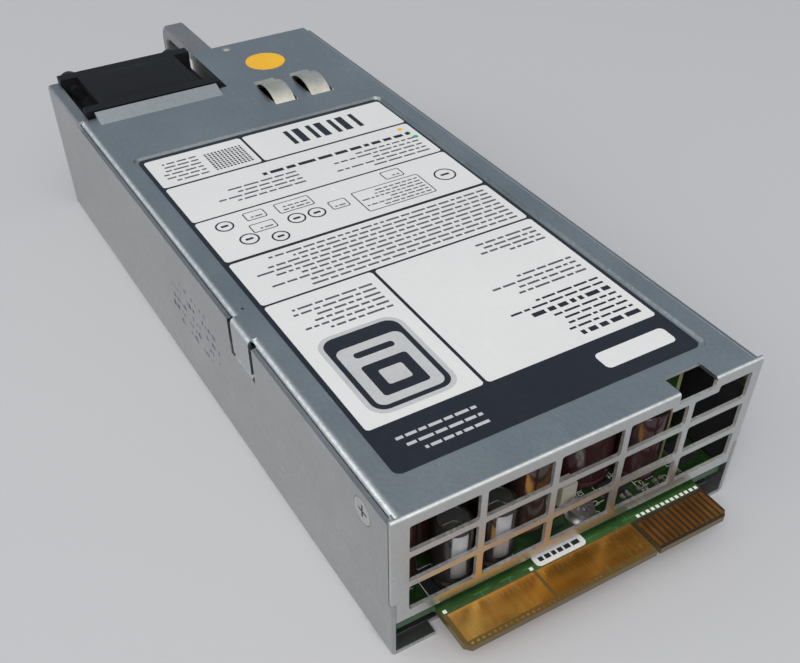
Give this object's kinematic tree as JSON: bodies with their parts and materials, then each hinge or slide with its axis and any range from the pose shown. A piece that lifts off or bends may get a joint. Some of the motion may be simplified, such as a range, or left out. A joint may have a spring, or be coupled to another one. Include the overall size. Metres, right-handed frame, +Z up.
{
  "type": "hot swap server power supply",
  "caption": "Long flat sheet-metal power supply with a card-edge plug under a ventilated panel, a guarded fan, a power inlet, a pull handle and a release latch.",
  "frame": {"origin": "centre of the sheet-metal case's underside, between its two end planes", "axes": "+Z up, +Y towards the card edge, +X towards the side that holds the fan"},
  "size_m": [0.088, 0.2391, 0.0405],
  "materials": {
    "case_steel": "galvanised sheet, satin",
    "cover_steel": "galvanised sheet with a cool grey passivation",
    "end_steel": "galvanised sheet, satin",
    "bright_steel": "zinc plated",
    "spring_metal": "bright spring strip",
    "pin_metal": "nickel plated",
    "gold": "gold plated copper",
    "copper": "bare copper",
    "aluminium": "mill finish",
    "black_plastic": "fine spark-eroded texture",
    "rotor_plastic": "moulded",
    "handle_plastic": "smoky dark grey, fine grain",
    "latch_plastic": "terracotta, moulded",
    "inlet_plastic": "moulded",
    "clear_plastic": "milky light pipe",
    "board_green": "green solder mask",
    "control_green": "green solder mask",
    "label_film": "printed film",
    "yellow_film": "printed film",
    "white_film": "paper film",
    "black_film": "insulating film",
    "white_plastic": "moulded",
    "can_sleeve": "shrink sleeve",
    "brown_sleeve": "shrink sleeve",
    "maroon_sleeve": "shrink sleeve",
    "chip_black": "epoxy package",
    "chip_grey": "ceramic chip",
    "ferrite": "sintered ferrite",
    "winding": "enamelled wire",
    "tape_winding": "polyester tape",
    "film_block": "flame retardant box",
    "disc_blue": "epoxy dipped",
    "fuse_glass": "ceramic tube"
  },
  "bodies": {
    "case": {"case_tray": "case_steel", "top_cover": "cover_steel", "end_plate": "end_steel", "side_screws": "bright_steel", "cover_rivets": "bright_steel", "fan_frame": "black_plastic", "fan_bearing": "copper", "fan_stator": "winding", "fan_guard": "bright_steel", "fan_screws": "bright_steel", "fan_bracket": "end_steel", "handle": "handle_plastic", "handle_screws": "bright_steel", "inlet_body": "inlet_plastic", "inlet_pins": "pin_metal", "latch_bracket": "end_steel", "latch_pin": "bright_steel", "latch_spring": "spring_metal", "status_light": "clear_plastic", "main_board": "board_green", "power_pads": "gold", "signal_fingers": "gold", "rating_label": "label_film", "plain_dot": "yellow_film", "board_slip": "white_film", "standoffs": "bright_steel", "board_washers": "bright_steel", "board_screws": "bright_steel", "floor_film": "black_film", "wall_film": "black_film", "output_cans": "can_sleeve", "brown_capacitors": "brown_sleeve", "maroon_capacitors": "maroon_sleeve", "bulk_capacitor": "can_sleeve", "capacitor_bed": "white_plastic", "control_board": "control_green", "control_header": "black_plastic", "control_chips": "chip_black", "board_chips": "chip_black", "small_chips": "chip_grey", "white_block": "white_plastic", "transformer_core": "ferrite", "transformer_winding": "tape_winding", "choke_core": "ferrite", "choke_winding": "winding", "boost_core": "ferrite", "boost_winding": "winding", "film_capacitors": "film_block", "disc_capacitors": "disc_blue", "fuse": "fuse_glass", "relay": "black_plastic", "primary_heatsink": "aluminium", "power_transistors": "chip_black", "bridge_rectifier": "chip_black", "copper_bars": "copper"},
    "rotor": {"fan_rotor": "rotor_plastic", "fan_shaft": "bright_steel"},
    "latch": {"release_latch": "latch_plastic"},
    "spring_left": {"ground_spring_left": "spring_metal"},
    "spring_right": {"ground_spring_right": "spring_metal"}
  },
  "joints": [
    {"name": "fan_spin", "type": "hinge", "parent": "case", "child": "rotor", "pos_m": [0.0195, -0.085, 0.02], "axis": [0, 1, 0], "continuous": true},
    {"name": "latch_press", "type": "hinge", "parent": "case", "child": "latch", "pos_m": [-0.0394, -0.0692, 0.02], "axis": [0, 0, 1], "range_deg": [0, 5], "stiffness_Nm_per_rad": 0.8, "springref_deg": -6.88},
    {"name": "left_spring_press", "type": "hinge", "parent": "case", "child": "spring_left", "pos_m": [-0.024, -0.0674, 0.0385], "axis": [1, 0, 0], "range_deg": [-8, 0], "stiffness_Nm_per_rad": 0.05, "springref_deg": 5.73},
    {"name": "right_spring_press", "type": "hinge", "parent": "case", "child": "spring_right", "pos_m": [-0.0126, -0.0674, 0.0385], "axis": [1, 0, 0], "range_deg": [-8, 0], "stiffness_Nm_per_rad": 0.05, "springref_deg": 5.73}
  ]
}
